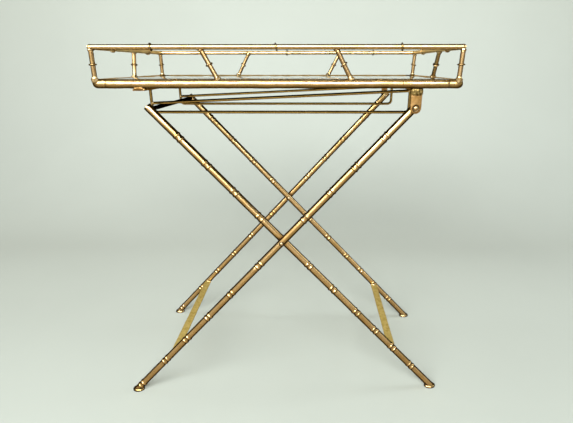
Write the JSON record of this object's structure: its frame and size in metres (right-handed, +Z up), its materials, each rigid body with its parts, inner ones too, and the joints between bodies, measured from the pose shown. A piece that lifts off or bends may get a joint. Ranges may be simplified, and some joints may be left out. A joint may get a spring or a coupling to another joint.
{
  "type": "folding tray table",
  "caption": "Rectangular glass-topped tray with a low brass gallery on a folding scissor base of bamboo-style brass tubes, with wire guides for its slide bar.",
  "frame": {"origin": "on the floor, midway between the four feet of the open base", "axes": "+X along the tray towards the hinged end of the outer legs, +Y to the back of the tray, +Z up"},
  "size_m": [0.5896, 0.3166, 0.6284],
  "materials": {
    "aged_brass": "polished long ago, warm and slightly tarnished, with darker lines beside each ring",
    "rail_brass": "bright worn polish",
    "raw_brass": "matte and mottled, unpolished flat strip",
    "dark_brass": "dark tarnished wire, bar and rivets",
    "clear_glass": "clear, polished, with a faint green tint"
  },
  "bodies": {
    "tray": {"tray_tube_front": "aged_brass", "tray_tube_rear": "aged_brass", "tray_tube_left": "aged_brass", "tray_tube_right": "aged_brass", "tray_elbow_front_left": "aged_brass", "tray_elbow_front_right": "aged_brass", "tray_elbow_rear_left": "aged_brass", "tray_elbow_rear_right": "aged_brass", "gallery_rail_front": "rail_brass", "gallery_rail_rear": "rail_brass", "gallery_rail_left": "rail_brass", "gallery_rail_right": "rail_brass", "gallery_post_front_left": "rail_brass", "gallery_post_front_right": "rail_brass", "gallery_post_rear_left": "rail_brass", "gallery_post_rear_right": "rail_brass", "gallery_spindle_front_left": "rail_brass", "gallery_spindle_front_right": "rail_brass", "gallery_spindle_rear_left": "rail_brass", "gallery_spindle_rear_right": "rail_brass", "gallery_spindle_left": "rail_brass", "gallery_spindle_right": "rail_brass", "glass_top": "clear_glass", "glass_ledge_front": "raw_brass", "glass_ledge_rear": "raw_brass", "glass_ledge_left": "raw_brass", "glass_ledge_right": "raw_brass", "cross_strap": "raw_brass", "hinge_strap": "raw_brass", "guide_loop_front": "dark_brass", "guide_ramp_front": "dark_brass", "guide_loop_rear": "dark_brass", "guide_ramp_rear": "dark_brass", "pivot_rivet_front": "dark_brass", "pivot_rivet_rear": "dark_brass"},
    "outer_legs": {"outer_leg_front": "aged_brass", "outer_leg_rear": "aged_brass", "outer_foot_front": "aged_brass", "outer_foot_rear": "aged_brass", "outer_stretcher": "raw_brass", "crossing_rivet_front": "dark_brass", "crossing_rivet_rear": "dark_brass", "crossing_washer_front": "dark_brass", "crossing_washer_rear": "dark_brass"},
    "inner_legs": {"inner_leg_front": "aged_brass", "inner_leg_rear": "aged_brass", "inner_foot_front": "aged_brass", "inner_foot_rear": "aged_brass", "inner_stretcher": "raw_brass", "slide_bar": "dark_brass"}
  },
  "joints": [
    {"name": "outer_leg_fold", "type": "hinge", "parent": "tray", "child": "outer_legs", "pos_m": [0.208, 0, 0.5355], "axis": [0, -1, 0], "range_deg": [0, 40]},
    {"name": "inner_leg_fold", "type": "hinge", "parent": "outer_legs", "child": "inner_legs", "pos_m": [0, 0, 0.3108], "axis": [0, 1, 0], "range_deg": [0, 80]}
  ],
  "couplings": [
    {"joint": "inner_leg_fold", "follows": "outer_leg_fold", "ratio": 2}
  ]
}
